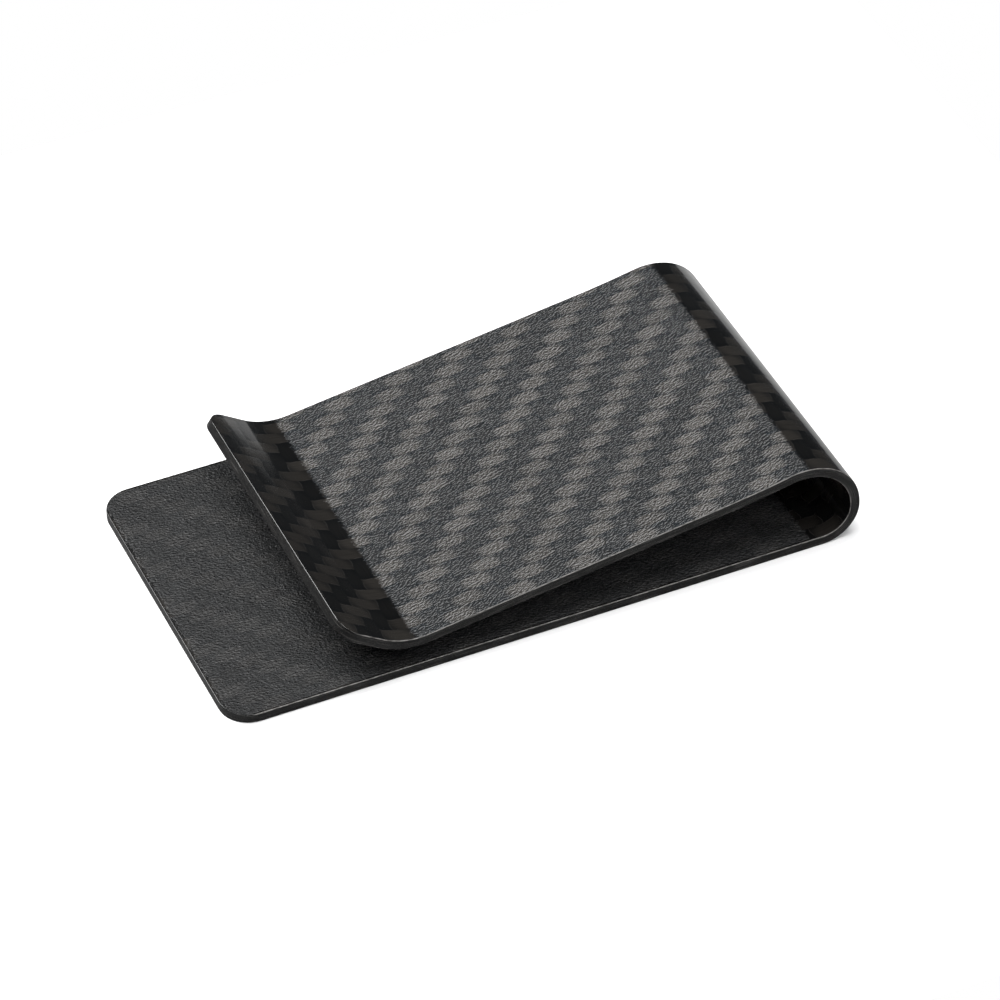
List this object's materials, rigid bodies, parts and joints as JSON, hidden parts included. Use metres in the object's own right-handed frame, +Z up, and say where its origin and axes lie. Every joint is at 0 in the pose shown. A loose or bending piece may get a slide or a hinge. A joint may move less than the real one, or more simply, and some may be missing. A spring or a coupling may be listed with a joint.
{
  "type": "money clip",
  "caption": "One-piece carbon-fibre spring money clip: flat base leaf, U-shaped spring bend and a sprung grip leaf with an upturned lip, to hold folded notes and cards.",
  "frame": {"origin": "middle of the footprint, on the underside of the base leaf", "axes": "+X along the clip towards the spring bend, +Y across the clip, +Z up from the base leaf to the grip leaf"},
  "size_m": [0.0712, 0.0376, 0.0111],
  "materials": {
    "carbon_twill": "2x2 carbon twill under a thin satin epoxy skin, fine grained on the flats",
    "core_lengthwise": "cut and sanded edge of a unidirectional carbon ply laid along the clip",
    "core_crosswise": "cut and sanded edge of a unidirectional carbon ply laid across the clip"
  },
  "bodies": {
    "base": {"base_leaf_outer_twill_ply": "carbon_twill", "base_leaf_core_ply_1_lengthwise": "core_lengthwise", "base_leaf_core_ply_2_crosswise": "core_crosswise", "base_leaf_core_ply_3_lengthwise": "core_lengthwise", "base_leaf_core_ply_4_crosswise": "core_crosswise", "base_leaf_core_ply_5_lengthwise": "core_lengthwise", "base_leaf_inner_twill_ply": "carbon_twill", "spring_bend_outer_twill_ply": "carbon_twill", "spring_bend_core_ply_1_lengthwise": "core_lengthwise", "spring_bend_core_ply_2_crosswise": "core_crosswise", "spring_bend_core_ply_3_lengthwise": "core_lengthwise", "spring_bend_core_ply_4_crosswise": "core_crosswise", "spring_bend_core_ply_5_lengthwise": "core_lengthwise", "spring_bend_inner_twill_ply": "carbon_twill"},
    "grip": {"grip_leaf_outer_twill_ply": "carbon_twill", "grip_leaf_core_ply_1_lengthwise": "core_lengthwise", "grip_leaf_core_ply_2_crosswise": "core_crosswise", "grip_leaf_core_ply_3_lengthwise": "core_lengthwise", "grip_leaf_core_ply_4_crosswise": "core_crosswise", "grip_leaf_core_ply_5_lengthwise": "core_lengthwise", "grip_leaf_inner_twill_ply": "carbon_twill"}
  },
  "joints": [
    {"name": "jaw_flex", "type": "hinge", "parent": "base", "child": "grip", "pos_m": [0.0302, 0, 0.0073], "axis": [0, 1, 0], "range_deg": [-2.8, 6], "stiffness_Nm_per_rad": 5.8, "springref_deg": -4.3, "deforming": ["spring_bend_outer_twill_ply", "spring_bend_core_ply_1_lengthwise", "spring_bend_core_ply_2_crosswise", "spring_bend_core_ply_3_lengthwise", "spring_bend_core_ply_4_crosswise", "spring_bend_core_ply_5_lengthwise", "spring_bend_inner_twill_ply"]}
  ]
}
